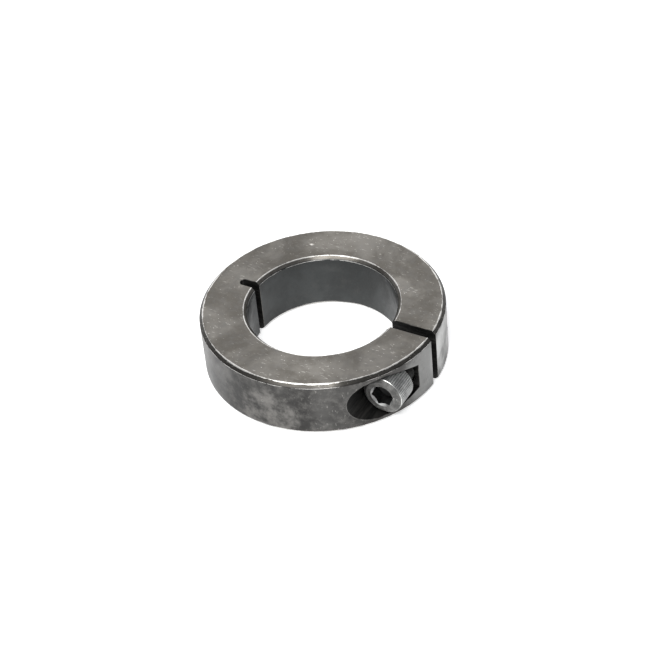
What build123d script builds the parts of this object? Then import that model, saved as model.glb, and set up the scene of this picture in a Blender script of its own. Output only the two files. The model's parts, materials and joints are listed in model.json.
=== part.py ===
"""One-piece clamping shaft collar with its socket head cap screw, in millimetres.

The origin is the centre of the bore at the bottom face, with +Z along the shaft.
The slit points along +X, the relief slot along -X, and the screw lies along Y,
half way up, with its head on the -Y side, backed off from its seat.
"""

from build123d import *
import math
import os

# Ring, with its wall measured from the bore to the rim
bore_d = 1.375 * IN
wall = 0.4375 * IN
width = 0.5625 * IN
rim_chamfer = 0.8
bore_chamfer = 0.8

# The slit that closes when the screw is tightened, and the relief slot opposite
slit_w = 2.38
relief_w = 2.0
relief_depth = 4.35

# Screw: 1/4-28 UNF socket head cap screw, 5/8 in long
thread_d = 0.25 * IN
pitch = IN / 28
screw_length = 0.625 * IN
head_d = 0.375 * IN
head_height = 0.25 * IN
head_bevel_width = 0.85
head_bevel_height = 0.5
underhead_chamfer = 0.25
neck_fillet = 0.3
socket_af = 0.1875 * IN
socket_depth = 3.05
socket_countersink = 0.1
socket_phase = 7.0

# The middle of the screw, which carries its travel without turning
core_d = 1.2
core_length = 10.0
core_clearance = 0.03

# Fits of the screw in the ring
screw_wall = 2.3
lug_thickness = 5.37
seat_clearance = 0.79
shank_clearance = 0.325
thread_clearance = 0.05
backed_off = 3.15

# Worked out from the sizes above
bore_r = bore_d / 2
outer_r = bore_r + wall
mid_height = width / 2
relief_root = bore_r + relief_depth
tapped_r = thread_d / 2 + thread_clearance
clearance_r = thread_d / 2 + shank_clearance
pocket_r = head_d / 2 + seat_clearance
screw_x = bore_r + screw_wall + clearance_r
seat_y = -(slit_w / 2 + lug_thickness)
underhead_y = seat_y - backed_off
front_y = underhead_y - head_height
thread_depth = pitch * 0.6134

# Planes square to the screw's axis. The first two face out of the ring.
head_side = Plane(origin=(screw_x, -outer_r, mid_height), x_dir=(1, 0, 0), z_dir=(0, -1, 0))
thread_side = Plane(origin=(screw_x, outer_r, mid_height), x_dir=(1, 0, 0), z_dir=(0, 1, 0))
underhead = Plane(origin=(screw_x, underhead_y, mid_height), x_dir=(1, 0, 0), z_dir=(0, -1, 0))
head_front = Plane(origin=(screw_x, front_y, mid_height), x_dir=(1, 0, 0), z_dir=(0, -1, 0))

# The plane the screw is turned in: x is the radius, y runs from the head's
# underside to the tip.
turning = Plane(origin=(screw_x, underhead_y, mid_height), x_dir=(1, 0, 0), z_dir=(0, 0, 1))

os.makedirs("parts", exist_ok=True)


# The ring is turned from bar, so it starts as a washer with four broken edges.
with BuildPart() as collar_body:
    with BuildSketch(Plane.XY):
        Circle(outer_r)
        Circle(bore_r, mode=Mode.SUBTRACT)
    extrude(amount=width)
    rims = collar_body.edges().filter_by(GeomType.CIRCLE).group_by(SortBy.RADIUS)
    chamfer(rims[-1], length=rim_chamfer)
    chamfer(rims[0], length=bore_chamfer)

    # The relief slot starts in the bore and ends round, inside the wall.
    with BuildSketch(Plane.XY):
        with Locations((-(relief_root - relief_w / 2) / 2, 0)):
            SlotCenterToCenter(relief_root - relief_w / 2, relief_w)
    extrude(amount=width, mode=Mode.SUBTRACT)

    # The slit goes right through the wall on the other side.
    with BuildSketch(Plane.XY):
        Rectangle(2 * outer_r, slit_w, align=(Align.MIN, Align.CENTER))
    extrude(amount=width, mode=Mode.SUBTRACT)

    # The screw's pocket breaks out through the rim and has a flat seat. Its
    # clearance hole goes on to the slit, and the tapped hole to the other side.
    with Locations(head_side):
        CounterBoreHole(
            radius=clearance_r,
            counter_bore_radius=pocket_r,
            counter_bore_depth=outer_r + seat_y,
            depth=outer_r,
        )
    with Locations(thread_side):
        Hole(radius=tapped_r, depth=outer_r)
collar_body.part.label = "collar_body"
export_step(collar_body.part, "parts/collar_body.step")


# The core is a plain pin on the screw's axis, sealed inside the shank.
core_plane = underhead.offset(-core_clearance)
with BuildPart() as clamp_screw_core:
    with BuildSketch(core_plane):
        Circle(core_d / 2)
    extrude(amount=-core_length)
clamp_screw_core.part.label = "clamp_screw_core"
export_step(clamp_screw_core.part, "parts/clamp_screw_core.step")


# The screw's head and shank, turned to one outline, with the thread as its
# major diameter.
head_r = head_d / 2
thread_r = thread_d / 2
with BuildPart() as clamp_screw:
    with BuildSketch(turning):
        with BuildLine():
            Polyline(
                (0, screw_length),
                (0, -head_height),
                (head_r - head_bevel_width, -head_height),
                (head_r, head_bevel_height - head_height),
                (head_r, -underhead_chamfer),
                (head_r - underhead_chamfer, 0),
                (thread_r + neck_fillet, 0),
            )
            RadiusArc((thread_r + neck_fillet, 0), (thread_r, neck_fillet), neck_fillet)
            Polyline(
                (thread_r, neck_fillet),
                (thread_r, screw_length - pitch),
                (thread_r - thread_depth, screw_length),
                (0, screw_length),
            )
        make_face()
    revolve(axis=Axis(turning.origin, (0, 1, 0)))

    # A hexagon socket with a shallow countersink and a drill point below it.
    with BuildSketch(head_front):
        RegularPolygon(socket_af / 2, 6, major_radius=False, rotation=socket_phase)
    extrude(amount=-socket_depth, mode=Mode.SUBTRACT)
    with BuildSketch(head_front):
        Circle(socket_af / math.sqrt(3) + socket_countersink)
    extrude(amount=-2 * socket_countersink, taper=45, mode=Mode.SUBTRACT)
    with BuildSketch(head_front.offset(-socket_depth)):
        Circle(socket_af / 2)
    extrude(amount=-socket_af / 4, taper=60, mode=Mode.SUBTRACT)

    # The sealed hollow that holds the core.
    with BuildSketch(underhead):
        Circle(core_d / 2 + core_clearance)
    extrude(amount=-(core_length + 2 * core_clearance), mode=Mode.SUBTRACT)
clamp_screw.part.label = "clamp_screw"
export_step(clamp_screw.part, "parts/clamp_screw.step")
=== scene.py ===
import json
import math

import bpy
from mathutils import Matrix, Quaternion, Vector


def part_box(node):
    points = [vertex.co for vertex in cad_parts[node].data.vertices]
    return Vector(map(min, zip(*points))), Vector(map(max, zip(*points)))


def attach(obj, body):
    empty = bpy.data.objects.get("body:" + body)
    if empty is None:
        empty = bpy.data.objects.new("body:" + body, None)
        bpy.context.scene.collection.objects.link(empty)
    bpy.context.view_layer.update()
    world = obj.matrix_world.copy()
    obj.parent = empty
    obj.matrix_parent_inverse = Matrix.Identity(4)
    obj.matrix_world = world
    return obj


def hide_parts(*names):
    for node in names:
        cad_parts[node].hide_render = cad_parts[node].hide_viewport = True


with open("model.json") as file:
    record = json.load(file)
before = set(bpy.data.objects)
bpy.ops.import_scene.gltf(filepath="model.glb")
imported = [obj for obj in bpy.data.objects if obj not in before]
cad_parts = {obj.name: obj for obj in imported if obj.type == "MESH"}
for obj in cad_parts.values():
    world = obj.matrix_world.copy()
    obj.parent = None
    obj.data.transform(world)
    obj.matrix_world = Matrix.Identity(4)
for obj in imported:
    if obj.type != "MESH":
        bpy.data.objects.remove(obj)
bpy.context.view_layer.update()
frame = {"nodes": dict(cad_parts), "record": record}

MM = 0.001
merge_distance = 0.001 * MM
bpy.ops.object.select_all(action="DESELECT")


# ---- Camera
# A long lens looking down at the collar from the right of its slit, turned a little.
camera_azimuth, camera_elevation, camera_roll = 32.233, 40.410, -5.925
camera_distance = 469.44 * MM
eye = Vector((
    math.sin(math.radians(camera_azimuth)) * math.cos(math.radians(camera_elevation)),
    -math.cos(math.radians(camera_azimuth)) * math.cos(math.radians(camera_elevation)),
    math.sin(math.radians(camera_elevation)),
))
bpy.ops.object.camera_add(location=eye * camera_distance)
camera = bpy.context.object
camera.rotation_mode = "QUATERNION"
camera.rotation_quaternion = (
    eye.to_track_quat("Z", "Y") @ Quaternion((0, 0, 1), math.radians(camera_roll))
)
camera.data.sensor_width = 36
camera.data.lens = 110.51
camera.data.shift_x = -0.00294
camera.data.shift_y = 0.03979
camera.data.clip_start = 0.01
bpy.context.scene.camera = camera


# ---- Floor and studio light
# A white table in a dim room, under soft light boxes: a small one over the camera, a
# wider one beside it at the left, and a wide one behind the collar.
bpy.ops.mesh.primitive_circle_add(vertices=96, radius=1.5, fill_type="NGON")
floor = bpy.context.object
floor.name = "floor"
paper = bpy.data.materials.new("white_paper")
paper.use_nodes = True
paper_shader = paper.node_tree.nodes["Principled BSDF"]
paper_shader.inputs["Base Color"].default_value = (0.9, 0.9, 0.9, 1)
paper_shader.inputs["Roughness"].default_value = 0.9
paper_shader.inputs["Emission Color"].default_value = (1, 1, 1, 1)
paper_shader.inputs["Emission Strength"].default_value = 0.48
floor.data.materials.append(paper)

room = bpy.data.worlds.new("room")
bpy.context.scene.world = room
room.use_nodes = True
room.node_tree.nodes["Background"].inputs["Color"].default_value = (0.92, 0.95, 1, 1)
room.node_tree.nodes["Background"].inputs["Strength"].default_value = 0.3
bpy.context.scene.view_settings.view_transform = "Standard"


def light_box(name, azimuth, elevation, distance, side, power):
    """A square soft light at this azimuth and elevation, facing the collar."""
    turned, raised = math.radians(azimuth), math.radians(elevation)
    away = Vector((
        math.sin(turned) * math.cos(raised),
        -math.cos(turned) * math.cos(raised),
        math.sin(raised),
    ))
    bpy.ops.object.light_add(type="AREA", location=away * distance)
    light = bpy.context.object
    light.name = name
    light.rotation_mode = "QUATERNION"
    light.rotation_quaternion = away.to_track_quat("Z", "Y")
    light.data.size = side
    light.data.energy = power


light_box("key_box", 27, 51, 0.9, 0.16, 3.6)
light_box("left_box", -12, 62, 0.9, 0.45, 6.5)
light_box("back_box", 212, 42, 1.0, 0.8, 2.9)


# ---- collar_body
# The ring is turned from bar steel, with a broken edge on each rim, then sawn
# through, slotted, drilled, counterbored and tapped for its screw, and blackened.
ring_low, ring_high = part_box("collar_body")
outer_r = ring_high.y
ring_width = ring_high.z
bore_mount = next(m for m in frame["record"]["mounts"] if m["name"] == "shaft_bore")
bore_r = bore_mount["dims"]["r_mm"] * MM
rim_chamfer = 0.8 * MM
edge_rounding = 0.08 * MM
ring_steps = 288
slit_w = 2.38 * MM
relief_w = 2.0 * MM
relief_root = bore_r + 4.35 * MM
lug_thickness = 5.37 * MM
seat_y = -(slit_w / 2 + lug_thickness)
past = 2 * MM

# Its outline is a rectangle with chamfered, slightly rounded corners, spun round.
bpy.ops.mesh.primitive_plane_add(
    size=1, rotation=(math.pi / 2, 0, 0), location=((bore_r + outer_r) / 2, 0, ring_width / 2)
)
collar = bpy.context.object
collar.name = "collar_ring"
collar.scale = (outer_r - bore_r, ring_width, 1)
bpy.ops.object.transform_apply()
bpy.ops.object.mode_set(mode="EDIT")
bpy.ops.mesh.select_all(action="SELECT")
bpy.ops.mesh.bevel(offset=rim_chamfer, affect="VERTICES")
bpy.ops.mesh.select_all(action="SELECT")
bpy.ops.mesh.bevel(offset=edge_rounding, segments=3, affect="VERTICES")
bpy.ops.mesh.select_all(action="SELECT")
bpy.ops.mesh.delete(type="ONLY_FACE")
bpy.ops.mesh.select_all(action="SELECT")
bpy.ops.mesh.spin(steps=ring_steps, angle=2 * math.pi, center=(0, 0, 0), axis=(0, 0, 1))
bpy.ops.mesh.select_all(action="SELECT")
bpy.ops.mesh.remove_doubles(threshold=merge_distance)
bpy.ops.mesh.normals_make_consistent(inside=False)
bpy.ops.object.mode_set(mode="OBJECT")


def fill(tree, socket, value):
    """Gives a socket a number, or what comes out of another node."""
    if isinstance(value, bpy.types.NodeSocket):
        tree.links.new(value, socket)
    else:
        socket.default_value = value


def add_node(tree, kind, sockets, **settings):
    """Adds a shader node, with its sockets filled from numbers or from other nodes."""
    node = tree.nodes.new("ShaderNode" + kind)
    for name, value in settings.items():
        setattr(node, name, value)
    for name, value in sockets.items():
        fill(tree, node.inputs[name], value)
    return node


def blend(tree, amount, below, above):
    """The colour below, covered by the colour above as far as amount says."""
    mixing = tree.nodes.new("ShaderNodeMix")
    mixing.data_type = "RGBA"
    for place, value in ((0, amount), (6, below), (7, above)):
        fill(tree, mixing.inputs[place], value)
    return mixing.outputs[2]


def fade(tree, value, start, end, least=0, most=1):
    """A smooth step from least to most as value goes from start to end."""
    return add_node(
        tree, "MapRange",
        {"Value": value, "From Min": start, "From Max": end, "To Min": least, "To Max": most},
        interpolation_type="SMOOTHSTEP",
    ).outputs["Result"]


def math_node(tree, operation, first, second=0.0):
    """The result of a sum on two values."""
    return add_node(tree, "Math", {0: first, 1: second}, operation=operation).outputs[0]


def nicks(tree, place, turn, stretch, scale, size, share):
    """Small bright marks: 1 inside a mark, 0 elsewhere. They lie along the turned X axis."""
    turned = add_node(
        tree, "Mapping", {"Vector": place, "Rotation": (0, 0, turn), "Scale": (1, stretch, 1)}
    )
    cells = add_node(
        tree, "TexVoronoi", {"Vector": turned.outputs[0], "Scale": scale, "Randomness": 1.0}
    )
    chosen = add_node(tree, "SeparateColor", {"Color": cells.outputs["Color"]})
    near = fade(tree, cells.outputs["Distance"], size, 0.6 * size)
    kept = fade(tree, chosen.outputs["Red"], 1 - share, 1 - share + 0.02)
    return math_node(tree, "MULTIPLY", near, kept)


def noise(tree, place, scale, detail, roughness):
    """Cloudy noise, from about 0.3 to 0.7."""
    return add_node(
        tree, "TexNoise",
        {"Vector": place, "Scale": scale, "Detail": detail, "Roughness": roughness},
    ).outputs["Fac"]


def start_steel(name, metallic):
    """A new material, with its node tree, its shader and the place on the piece."""
    material = bpy.data.materials.new(name)
    material.use_nodes = True
    tree = material.node_tree
    shader = tree.nodes["Principled BSDF"]
    shader.inputs["Metallic"].default_value = metallic
    place = add_node(tree, "TexCoord", {}).outputs["Object"]
    return material, tree, shader, place


def add_bump(tree, shader, height, strength, distance):
    """Makes the surface look uneven, as the height says."""
    bump = add_node(tree, "Bump", {"Height": height, "Strength": strength, "Distance": distance})
    tree.links.new(bump.outputs[0], shader.inputs["Normal"])


def blackened_steel(name):
    """Turned steel with a worn black finish: cloudy, nicked, and rubbed bright at its rims."""
    material, tree, shader, place = start_steel(name, 0.9)
    shader.inputs["Anisotropic"].default_value = 0.85
    shader.inputs["Anisotropic Rotation"].default_value = 0.25
    around = add_node(tree, "Tangent", {}, direction_type="RADIAL", axis="Z")
    tree.links.new(around.outputs[0], shader.inputs["Tangent"])

    # Where a point is on the ring's section.
    flattened = add_node(
        tree, "VectorMath", {0: place, 1: (1, 1, 0)}, operation="MULTIPLY"
    ).outputs[0]
    radius = add_node(
        tree, "VectorMath", {0: flattened}, operation="LENGTH"
    ).outputs["Value"]
    height = add_node(tree, "SeparateXYZ", {0: place}).outputs["Z"]
    from_middle = math_node(
        tree, "ABSOLUTE", math_node(tree, "SUBTRACT", height, ring_width / 2)
    )
    in_section = add_node(
        tree, "CombineXYZ", {"X": radius, "Y": from_middle, "Z": 0.0}
    ).outputs[0]
    on_rim = fade(tree, radius, outer_r - 0.3 * MM, outer_r - 0.05 * MM)
    in_bore = fade(tree, radius, bore_r + 0.3 * MM, bore_r + 0.05 * MM)

    # The finish is thin in clouds, some broad and some small. It is browner on the faces. Round the
    # rim and in the bore it takes darker copies of the face colour as painted shade. The bore's copy
    # is a little bluer, a painted reflection of the cool room.
    broad = add_node(
        tree, "TexNoise",
        {"Vector": place, "W": 1.4, "Scale": 75, "Detail": 6, "Roughness": 0.62, "Distortion": 0.4},
        noise_dimensions="4D",
    ).outputs["Fac"]
    small = noise(tree, place, 420, 6, 0.7)
    cloud = fade(tree, broad, 0.4, 0.62)
    face = blend(tree, cloud, (0.108, 0.099, 0.086, 1), (0.195, 0.184, 0.166, 1))
    rim = blend(tree, cloud, (0.034, 0.033, 0.032, 1), (0.077, 0.075, 0.072, 1))
    bore = blend(tree, cloud, (0.042, 0.044, 0.044, 1), (0.057, 0.06, 0.06, 1))
    colour = blend(tree, in_bore, blend(tree, on_rim, face, rim), bore)
    thin = math_node(
        tree, "MULTIPLY", fade(tree, small, 0.42, 0.75, 0, 0.5), fade(tree, in_bore, 1, 0, 0.2, 1)
    )
    colour = blend(tree, thin, colour, (0.2, 0.193, 0.182, 1))

    # Brighter, ragged patches in four places round the rim, two of them beside the slit, the last of
    # all the most: partly finish thinned by handling, partly painted reflection of light, the last
    # one wholly a painted reflection. Each is at an azimuth and a share of the height.
    ragged = math_node(tree, "ADD", broad, math_node(tree, "MULTIPLY", small, 0.5))
    for azimuth, share, reach, bared_and_reflection, first, last in (
        (-125, 0.6, 17 * MM, (0.13, 0.126, 0.12, 1), 0.62, 0.95),
        (-89, 0.25, 9 * MM, (0.19, 0.183, 0.172, 1), 0.58, 0.9),
        (-9, 0.5, 9.5 * MM, (0.19, 0.19, 0.185, 1), 0.5, 0.85),
        (11, 0.5, 8.5 * MM, (0.42, 0.42, 0.413, 1), 0.55, 0.9),
    ):
        centre = (
            outer_r * math.cos(math.radians(azimuth)), outer_r * math.sin(math.radians(azimuth)),
            share * ring_width,
        )
        away = add_node(
            tree, "VectorMath", {0: place, 1: centre}, operation="DISTANCE"
        ).outputs["Value"]
        thinned_and_lit = math_node(
            tree, "MULTIPLY", fade(tree, away, reach, 0.6 * reach), fade(tree, ragged, first, last)
        )
        colour = blend(tree, math_node(tree, "MULTIPLY", thinned_and_lit, on_rim), colour, bared_and_reflection)

    # The outer chamfers are painted darker than the faces beside them: painted shade.
    chamfer_reach = outer_r + ring_width / 2 - rim_chamfer
    chamfer_shade = fade(
        tree, math_node(tree, "ADD", radius, from_middle),
        chamfer_reach - 0.15 * MM, chamfer_reach - 0.03 * MM, 0, 0.7,
    )
    colour = blend(tree, chamfer_shade, colour, (0.03, 0.028, 0.025, 1))

    # How near a point is to the ring's edges, weighted per edge, for the bright steel painted along
    # them: partly rubbed wear, partly a painted highlight. The edges of the two flat faces, which
    # catch the light, are weighted to show the most.
    to_rim = None
    for edge_r, edge_height, shelter_and_shade in (
        (outer_r - rim_chamfer, ring_width / 2, 1.0),
        (outer_r, ring_width / 2 - rim_chamfer, 4.5),
        (bore_r + rim_chamfer, ring_width / 2, 1.3),
        (bore_r, ring_width / 2 - rim_chamfer, 3.0),
    ):
        to_edge = add_node(
            tree, "VectorMath", {0: in_section, 1: (edge_r, edge_height, 0)}, operation="DISTANCE"
        ).outputs["Value"]
        to_edge = math_node(tree, "MULTIPLY", to_edge, shelter_and_shade)
        to_rim = to_edge if to_rim is None else math_node(tree, "MINIMUM", to_rim, to_edge)
    reach = fade(tree, noise(tree, place, 260, 4, 0.7), 0.36, 0.6, 0.06 * MM, 0.31 * MM)
    # Bright edge steel: rubbed wear with a painted highlight on the upper edges.
    rubbed_and_highlit = fade(tree, math_node(tree, "DIVIDE", to_rim, reach), 1.0, 0.45, 0, 0.95)
    colour = blend(tree, rubbed_and_highlit, colour, (0.75, 0.73, 0.7, 1))

    # Nicks and short scratches where it has been handled, more in some places.
    handled = math_node(
        tree, "MULTIPLY", fade(tree, broad, 0.42, 0.6, 0.3, 1),
        fade(tree, radius, bore_r, bore_r + rim_chamfer),
    )
    shaken = add_node(
        tree, "TexNoise", {"Vector": place, "Scale": 1500, "Detail": 2}
    ).outputs["Color"]
    unsteady = add_node(
        tree, "VectorMath", {0: shaken, 1: (0.5 * MM, 0.5 * MM, 0.5 * MM), 2: place},
        operation="MULTIPLY_ADD",
    ).outputs[0]
    marks = nicks(tree, unsteady, 0.0, 1.0, 1400, 0.17, 0.45)
    for turn, stretch, size in ((0.5, 9.0, 0.15), (-0.9, 12.0, 0.19), (1.9, 10.0, 0.17)):
        marks = math_node(
            tree, "MAXIMUM", marks, nicks(tree, unsteady, turn, stretch, 310, size, 0.3)
        )
    marks = math_node(tree, "MULTIPLY", marks, handled)
    marks = math_node(tree, "MULTIPLY", marks, fade(tree, on_rim, 0, 1, 0.75, 0.22))

    # One deeper dent on the top face, towards the back.
    dent_place = (-0.453 * outer_r, 0.667 * outer_r, ring_width)
    from_dent = add_node(
        tree, "VectorMath", {0: unsteady, 1: dent_place}, operation="SUBTRACT"
    ).outputs[0]
    to_dent = add_node(
        tree, "VectorMath", {0: from_dent, 1: (0.5, 1, 1)}, operation="MULTIPLY"
    ).outputs[0]
    to_dent = add_node(tree, "VectorMath", {0: to_dent}, operation="LENGTH").outputs["Value"]
    dent = fade(tree, to_dent, 0.52 * MM, 0.2 * MM)
    marks = math_node(tree, "MAXIMUM", marks, dent)
    colour = blend(tree, marks, colour, (0.62, 0.6, 0.56, 1))
    tree.links.new(colour, shader.inputs["Base Color"])

    # Fine turning lines run round the faces, the bore and the rim.
    lathe = add_node(
        tree, "TexNoise", {"W": math_node(tree, "ADD", radius, height), "Scale": 5500, "Detail": 3},
        noise_dimensions="1D",
    ).outputs["Fac"]
    gloss = fade(tree, small, 0.3, 0.7, 0.32, 0.44)
    tree.links.new(
        math_node(tree, "SUBTRACT", gloss, math_node(tree, "MULTIPLY", marks, 0.1)),
        shader.inputs["Roughness"],
    )
    relief_map = math_node(
        tree, "ADD", math_node(tree, "MULTIPLY", lathe, 0.5), math_node(tree, "MULTIPLY", small, 0.8)
    )
    add_bump(tree, shader, relief_map, 0.25, 0.04 * MM)
    return material


def edge_wear_and_highlight(name, dull, bright):
    """The steel of an edge, brightened here and there by handling, between the dull and bright
    colours given. At the screw's rim these colours are also a painted highlight.
    """
    material, tree, shader, place = start_steel(name, 0.9)
    worn = fade(tree, noise(tree, place, 300, 4, 0.7), 0.4, 0.6)
    tree.links.new(blend(tree, worn, dull, bright), shader.inputs["Base Color"])
    tree.links.new(fade(tree, worn, 0, 1, 0.45, 0.32), shader.inputs["Roughness"])
    return material


def unworn_and_shaded_black(name, turn, lines):
    """Cut faces inside the ring, where nothing rubs: the black finish over tool marks, painted
    darker still as painted shade in the slit, the slot, the pocket and the holes.
    """
    material, tree, shader, place = start_steel(name, 0.5)
    shader.inputs["Specular IOR Level"].default_value = 0.25
    along = add_node(tree, "Mapping", {"Vector": place, "Rotation": turn, "Scale": (1, 1, lines)})
    tooling = noise(tree, along.outputs[0], 120, 5, 0.65)
    colour = blend(
        tree, fade(tree, tooling, 0.35, 0.75), (0.004, 0.004, 0.004, 1), (0.03, 0.029, 0.027, 1)
    )
    tree.links.new(colour, shader.inputs["Base Color"])
    tree.links.new(fade(tree, tooling, 0.3, 0.7, 0.42, 0.6), shader.inputs["Roughness"])
    add_bump(tree, shader, tooling, 0.6, 0.05 * MM)
    return material


collar.data.materials.append(blackened_steel("worn_black_finish"))
collar.data.materials.append(
    edge_wear_and_highlight("cut_edges", (0.03, 0.029, 0.027, 1), (0.13, 0.126, 0.12, 1))
)
# Painted shade: the cut faces are darker than their black finish alone.
sawn = unworn_and_shaded_black("sawn_faces", (0, 0, 0), 12)
drilled = unworn_and_shaded_black("drilled_faces", (math.pi / 2, 0, 0), 20)


def cut(piece, cutter, finish, operation="DIFFERENCE"):
    """Cuts the piece with the cutter, which leaves its finish there, or joins the two."""
    cutter.data.materials.append(finish)
    cutting = piece.modifiers.new("cut", "BOOLEAN")
    cutting.operation = operation
    cutting.material_mode = "TRANSFER"
    cutting.object = cutter
    bpy.context.view_layer.objects.active = piece
    bpy.ops.object.modifier_apply(modifier=cutting.name)
    bpy.data.objects.remove(cutter)


def choose_edges(piece, wanted):
    """Selects just the edges that wanted() accepts by their two ends, in edit mode."""
    bpy.ops.object.mode_set(mode="EDIT")
    bpy.ops.mesh.select_mode(type="EDGE")
    bpy.ops.mesh.select_all(action="DESELECT")
    bpy.ops.object.mode_set(mode="OBJECT")
    for edge in piece.data.edges:
        edge.select = wanted(*(piece.data.vertices[v].co for v in edge.vertices))
    bpy.ops.object.mode_set(mode="EDIT")


# The relief slot, a sawcut in the bore with a round root.
bpy.ops.mesh.primitive_cube_add(size=1, location=(-relief_root / 2, 0, ring_width / 2))
relief = bpy.context.object
relief.scale = (relief_root, relief_w, ring_width + 2 * past)
bpy.ops.object.transform_apply()
choose_edges(relief, lambda one, other: max(one.x, other.x) < -relief_root / 2 and one.y == other.y)
bpy.ops.mesh.bevel(offset=0.98 * relief_w / 2, segments=12)
bpy.ops.object.mode_set(mode="OBJECT")
cut(collar, relief, sawn)

# The slit, right through the wall on the other side. Its walls are split where the
# screw crosses them, so that no face has the screw's hole inside it.
screw_low, screw_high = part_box("clamp_screw")
screw_x = (screw_low.x + screw_high.x) / 2
screw_z = (screw_low.z + screw_high.z) / 2
bpy.ops.mesh.primitive_cube_add(size=1, location=(outer_r / 2 + past, 0, ring_width / 2))
slit = bpy.context.object
slit.scale = (outer_r, slit_w, ring_width + 2 * past)
bpy.ops.object.transform_apply()
bpy.ops.object.mode_set(mode="EDIT")
bpy.ops.mesh.select_all(action="SELECT")
bpy.ops.mesh.bisect(plane_co=(screw_x, 0, screw_z), plane_no=(1, 0, 0))
bpy.ops.object.mode_set(mode="OBJECT")
cut(collar, slit, sawn)

# The screw's pocket with its flat seat, and the clearance hole on to the slit.
head_r = (screw_high.z - screw_low.z) / 2
pocket_r = head_r + 0.79 * MM
seat_gap = 0.01 * MM  # keeps the tightened head from lying in the seat's own plane
thread_r = 3.175 * MM
clearance_r = thread_r + 0.325 * MM


def cross_drill(radius, start, end, sides):
    """A round cutter along the screw's axis, from start to end."""
    bpy.ops.mesh.primitive_cylinder_add(
        vertices=sides, radius=radius, depth=end - start,
        location=(screw_x, (start + end) / 2, screw_z), rotation=(math.pi / 2, 0, 0),
    )
    bpy.ops.object.transform_apply()
    return bpy.context.object


cut(collar, cross_drill(pocket_r, -outer_r - past, seat_y + seat_gap, 144), drilled)
cut(collar, cross_drill(clearance_r, seat_y - past, 0, 72), drilled)


flank_angle = math.radians(30)


def threaded_rod(root_r, crest_r, crest_width, first_z, turns, pitch, sides=48):
    """A closed rod with a right-hand thread, along Z, starting at first_z on +X."""
    middle_r = (root_r + crest_r) / 2
    root_width = crest_width + 2 * (crest_r - root_r) * math.tan(flank_angle)
    bpy.ops.mesh.primitive_plane_add(
        size=1, rotation=(math.pi / 2, 0, 0), location=(middle_r, 0, first_z)
    )
    rod = bpy.context.object
    rod.scale = (crest_r - root_r, root_width, 1)
    bpy.ops.object.transform_apply()
    for vertex in rod.data.vertices:
        if vertex.co.x > middle_r:
            vertex.co.z = first_z + math.copysign(crest_width / 2, vertex.co.z - first_z)

    # The ridge's outline is opened at its root and goes on to the next turn's root.
    bpy.ops.object.mode_set(mode="EDIT")
    bpy.ops.mesh.select_all(action="SELECT")
    bpy.ops.mesh.delete(type="ONLY_FACE")
    bpy.ops.object.mode_set(mode="OBJECT")
    choose_edges(rod, lambda one, other: max(one.x, other.x) < middle_r)
    bpy.ops.mesh.delete(type="EDGE")
    bpy.ops.mesh.select_mode(type="VERT")
    bpy.ops.object.mode_set(mode="OBJECT")
    for vertex in rod.data.vertices:
        vertex.select = vertex.co.x < middle_r and vertex.co.z > first_z
    bpy.ops.object.mode_set(mode="EDIT")
    bpy.ops.mesh.extrude_vertices_move(
        TRANSFORM_OT_translate={"value": (0, 0, pitch - root_width)}
    )
    bpy.ops.object.mode_set(mode="OBJECT")
    winding = rod.modifiers.new("winding", "SCREW")
    winding.screw_offset = pitch
    winding.iterations = turns
    winding.steps = sides
    winding.render_steps = sides
    bpy.ops.object.modifier_apply(modifier=winding.name)
    bpy.ops.object.mode_set(mode="EDIT")
    bpy.ops.mesh.select_all(action="SELECT")
    bpy.ops.mesh.remove_doubles(threshold=merge_distance)
    bpy.ops.mesh.select_all(action="DESELECT")
    bpy.ops.mesh.select_non_manifold()
    bpy.ops.mesh.fill()
    bpy.ops.mesh.select_all(action="SELECT")
    bpy.ops.mesh.normals_make_consistent(inside=False)
    bpy.ops.object.mode_set(mode="OBJECT")
    return rod


def only(piece):
    """Selects this piece alone and makes it the active one."""
    bpy.ops.object.select_all(action="DESELECT")
    piece.select_set(True)
    bpy.context.view_layer.objects.active = piece


def lay_on_screw_axis(piece):
    """Turns a piece made along Z, tip up, to lie along the screw's axis."""
    piece.rotation_euler.x = -math.pi / 2
    piece.location = (screw_x, underhead_y, screw_z)
    only(piece)
    bpy.ops.object.transform_apply()


pitch = 25.4 * MM / 28
crest_width = pitch / 8
thread_depth = 0.6134 * pitch
tap_depth = 0.54 * pitch
head_height = 6.35 * MM
underhead_y = screw_low.y + head_height
first_turn_z = -2 * pitch
tap_clearance = 0.05 * MM
tap = threaded_rod(
    root_r=thread_r - tap_depth, crest_r=thread_r + tap_clearance, crest_width=crest_width,
    first_z=first_turn_z + 12 * pitch, turns=24, pitch=pitch,
)
lay_on_screw_axis(tap)
cut(collar, tap, drilled)

# A file has taken the burr off every sawn and drilled edge, but not off the thread.
sharp_angle = math.radians(40)
burr_width = 0.12 * MM
near_thread_r = thread_r + 0.1 * MM
only(collar)
bpy.ops.object.mode_set(mode="EDIT")
bpy.ops.mesh.select_mode(type="EDGE")
bpy.ops.mesh.select_all(action="DESELECT")
bpy.ops.mesh.edges_select_sharp(sharpness=sharp_angle)
bpy.ops.object.mode_set(mode="OBJECT")
sharp = [edge.index for edge in collar.data.edges if edge.select]
bpy.ops.object.mode_set(mode="EDIT")
bpy.ops.mesh.select_all(action="DESELECT")
bpy.ops.object.mode_set(mode="OBJECT")
for index in sharp:
    edge = collar.data.edges[index]
    ends = [collar.data.vertices[v].co for v in edge.vertices]
    edge.select = not any(
        end.y > 0 and math.hypot(end.x - screw_x, end.z - screw_z) < near_thread_r
        for end in ends
    )
bpy.ops.object.mode_set(mode="EDIT")
bpy.ops.mesh.bevel(offset=burr_width, segments=2, material=1, clamp_overlap=False)
bpy.ops.object.mode_set(mode="OBJECT")


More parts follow.
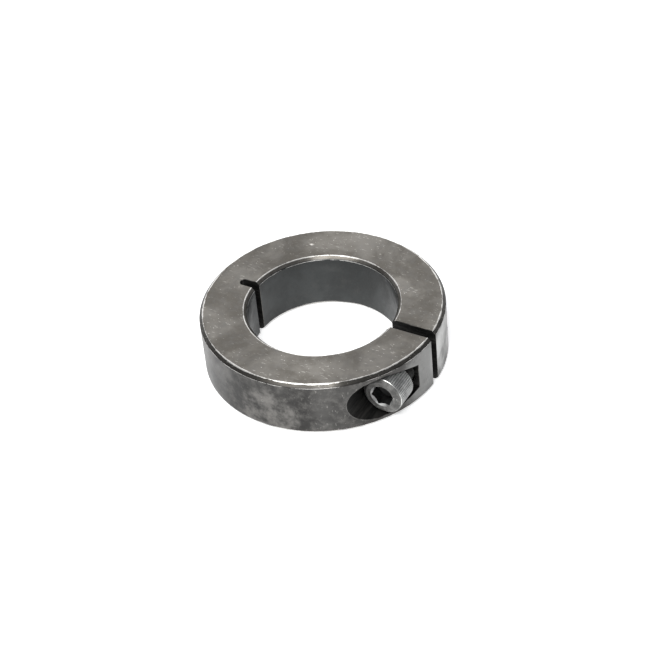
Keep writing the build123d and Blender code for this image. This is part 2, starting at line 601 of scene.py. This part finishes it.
def split_large_faces(piece):
    """Cuts the many-sided faces, some with a hole in them, into triangles."""
    only(piece)
    bpy.ops.object.mode_set(mode="EDIT")
    bpy.ops.mesh.select_mode(type="FACE")
    bpy.ops.mesh.select_all(action="DESELECT")
    bpy.ops.mesh.select_face_by_sides(number=4, type="GREATER")
    bpy.ops.mesh.quads_convert_to_tris(quad_method="BEAUTY", ngon_method="BEAUTY")
    bpy.ops.object.mode_set(mode="OBJECT")


split_large_faces(collar)


smooth_angle = math.radians(24)


def smooth_curves(piece):
    """Shades the round faces smooth and keeps the flat ones flat."""
    only(piece)
    bpy.ops.object.shade_smooth_by_angle(angle=smooth_angle)
    evened = piece.modifiers.new("evened", "WEIGHTED_NORMAL")
    evened.keep_sharp = True
    bpy.ops.object.modifier_apply(modifier=evened.name)


smooth_curves(collar)
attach(collar, "collar_body")
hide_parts("collar_body")


# ---- clamp_screw
# A 1/4-28 socket head cap screw of alloy steel: headed, knurled, thread-rolled.
head_bevel_width = 0.85 * MM
head_bevel_height = 0.5 * MM
underhead_chamfer = 0.25 * MM
socket_af = 4.7625 * MM
socket_depth = 3.05 * MM
socket_countersink = 0.1 * MM
socket_turn = math.radians(30 - 7)
knurl_teeth = 54
knurl_depth = 0.13 * MM
rim_rounding = 0.14 * MM
blank_r = thread_r + 0.1 * MM
point_r = thread_r - 0.67 * pitch
screw_length = screw_high.y - underhead_y
side_length = head_height - head_bevel_height - underhead_chamfer

bpy.ops.mesh.primitive_cylinder_add(
    vertices=4 * knurl_teeth, radius=head_r, depth=side_length, end_fill_type="TRIFAN",
    location=(0, 0, -underhead_chamfer - side_length / 2),
)
screw = bpy.context.object
screw.name = "cap_screw"
bpy.ops.object.transform_apply()


def dusty_black(name, dark, light):
    """The screw's black finish, dulled by dust and by the grease it has held."""
    material, tree, shader, place = start_steel(name, 0.7)
    dust = noise(tree, place, 500, 6, 0.65)
    colour = blend(tree, fade(tree, dust, 0.35, 0.7), dark, light)

    # The knurl's grooves are coloured near black.
    from_axis = add_node(
        tree, "VectorMath", {0: place, 1: (screw_x, 0, screw_z)}, operation="SUBTRACT"
    ).outputs[0]
    from_axis = add_node(
        tree, "VectorMath", {0: from_axis, 1: (1, 0, 1)}, operation="MULTIPLY"
    ).outputs[0]
    axis_r = add_node(tree, "VectorMath", {0: from_axis}, operation="LENGTH").outputs["Value"]
    groove = math_node(
        tree, "MULTIPLY", fade(tree, axis_r, head_r - 0.4 * knurl_depth, head_r - 0.9 * knurl_depth),
        fade(tree, axis_r, head_r - 1.3 * knurl_depth, head_r - 1.1 * knurl_depth),
    )
    colour = blend(tree, math_node(tree, "MULTIPLY", groove, 0.65), colour, (0.02, 0.02, 0.02, 1))
    marks = nicks(tree, place, 0.4, 1.5, 1100, 0.16, 0.35)
    colour = blend(tree, marks, colour, (0.6, 0.6, 0.58, 1))
    tree.links.new(colour, shader.inputs["Base Color"])
    tree.links.new(fade(tree, dust, 0.3, 0.7, 0.42, 0.58), shader.inputs["Roughness"])
    add_bump(tree, shader, dust, 0.3, 0.03 * MM)
    return material


head_finish = dusty_black("dusty_head", (0.21, 0.211, 0.207, 1), (0.42, 0.424, 0.414, 1))
thread_finish = dusty_black("oiled_thread", (0.016, 0.016, 0.015, 1), (0.05, 0.049, 0.047, 1))
socket_finish = dusty_black("socket_black", (0.012, 0.012, 0.012, 1), (0.03, 0.03, 0.029, 1))
screw.data.materials.append(head_finish)
# The rim's finish: bright rubbed steel with a painted highlight.
screw.data.materials.append(
    edge_wear_and_highlight("rubbed_rim_highlight", (0.25, 0.25, 0.243, 1), (0.62, 0.62, 0.6, 1))
)
# The front's finish: a darker copy of the head's, painted shade.
screw.data.materials.append(
    dusty_black("dusty_front_painted_shade", (0.07, 0.069, 0.066, 1), (0.19, 0.187, 0.18, 1))
)


def choose_faces(piece, wanted):
    """Selects just the faces whose centre and normal wanted() accepts, in edit mode."""
    bpy.ops.object.mode_set(mode="EDIT")
    bpy.ops.mesh.select_mode(type="FACE")
    bpy.ops.mesh.select_all(action="DESELECT")
    bpy.ops.object.mode_set(mode="OBJECT")
    for face in piece.data.polygons:
        face.select = wanted(face.center, face.normal)
    bpy.ops.object.mode_set(mode="EDIT")


for end, rise, inward in ((-1, head_bevel_height, head_bevel_width),
                          (1, underhead_chamfer, underhead_chamfer)):
    choose_faces(screw, lambda centre, normal: normal.z * end > 0.9)
    bpy.ops.mesh.extrude_region_move(TRANSFORM_OT_translate={"value": (0, 0, end * rise)})
    shrink = (head_r - inward) / head_r
    bpy.ops.transform.resize(value=(shrink, shrink, 1), center_override=(0, 0, 0))
bpy.ops.object.mode_set(mode="OBJECT")

# The front gets a darker copy of the side's finish: painted shade.
choose_faces(screw, lambda centre, normal: normal.z < -0.3)
screw.active_material_index = 2
bpy.ops.object.material_slot_assign()
bpy.ops.object.mode_set(mode="OBJECT")

# The rim of the front is rounded, and given bright steel: rubbed wear with a painted highlight.
rim_z = head_bevel_height - head_height
choose_edges(
    screw,
    lambda one, other: abs(one.z - rim_z) < 0.01 * MM > abs(other.z - rim_z),
)
bpy.ops.mesh.bevel(offset=rim_rounding, segments=3, material=1)
bpy.ops.object.mode_set(mode="OBJECT")

# The knurl: every fourth line of the side is pressed in.
for vertex in screw.data.vertices:
    turn = math.atan2(vertex.co.y, vertex.co.x) / (2 * math.pi) * knurl_teeth
    on_side = vertex.co.xy.length > head_r - 0.01 * MM
    if on_side and abs(turn - round(turn)) < 0.1:
        vertex.co.xy *= (head_r - knurl_depth) / head_r

# The threaded shank, cut to length with a bevelled point.
rod = threaded_rod(
    root_r=thread_r - thread_depth, crest_r=thread_r, crest_width=crest_width,
    first_z=first_turn_z, turns=21, pitch=pitch,
)
rod.data.materials.append(thread_finish)
bpy.ops.mesh.primitive_cylinder_add(
    vertices=96, radius=blank_r, depth=screw_length + head_height / 2 - pitch,
    location=(0, 0, (screw_length - pitch - head_height / 2) / 2),
)
blank = bpy.context.object
bpy.ops.object.transform_apply()
choose_faces(blank, lambda centre, normal: normal.z > 0.9)
bpy.ops.mesh.extrude_region_move(TRANSFORM_OT_translate={"value": (0, 0, pitch)})
point_shrink = point_r / blank_r
bpy.ops.transform.resize(value=(point_shrink, point_shrink, 1), center_override=(0, 0, 0))
bpy.ops.object.mode_set(mode="OBJECT")
cut(rod, blank, thread_finish, "INTERSECT")
cut(screw, rod, thread_finish, "UNION")

# The hexagon socket, its countersunk mouth and the drill point below it.
socket_r = socket_af / math.sqrt(3)
mouth_r = socket_r + socket_countersink
bpy.ops.mesh.primitive_cylinder_add(
    vertices=6, radius=socket_r, depth=socket_depth + past, end_fill_type="TRIFAN",
    location=(0, 0, -head_height + (socket_depth - past) / 2), rotation=(0, 0, socket_turn),
)
bpy.ops.object.transform_apply()
cut(screw, bpy.context.object, socket_finish)
bpy.ops.mesh.primitive_cone_add(
    vertices=96, radius1=mouth_r + 0.2 * MM, radius2=mouth_r - 1.0 * MM, depth=1.2 * MM,
    location=(0, 0, -head_height + 0.4 * MM),
)
bpy.ops.object.transform_apply()
cut(screw, bpy.context.object, head_finish)
bpy.ops.mesh.primitive_cone_add(
    vertices=48, radius1=0.98 * socket_af / 2, radius2=0, depth=1.3 * MM,
    location=(0, 0, -head_height + socket_depth + 0.6 * MM),
)
bpy.ops.object.transform_apply()
cut(screw, bpy.context.object, socket_finish)

# Slivers that the cuts leave are merged away.
bpy.ops.object.mode_set(mode="EDIT")
bpy.ops.mesh.select_all(action="SELECT")
bpy.ops.mesh.remove_doubles(threshold=merge_distance)
bpy.ops.object.mode_set(mode="OBJECT")
split_large_faces(screw)
lay_on_screw_axis(screw)
smooth_curves(screw)
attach(screw, "clamp_screw")
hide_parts("clamp_screw")


# ---- clamp_screw_core
# The middle of the screw's shank, sealed inside it. It is the same steel, uncoated.
core = frame["nodes"]["clamp_screw_core"]
core.data.materials.clear()
core.data.materials.append(
    edge_wear_and_highlight("bare_core", (0.4, 0.39, 0.38, 1), (0.55, 0.54, 0.52, 1))
)
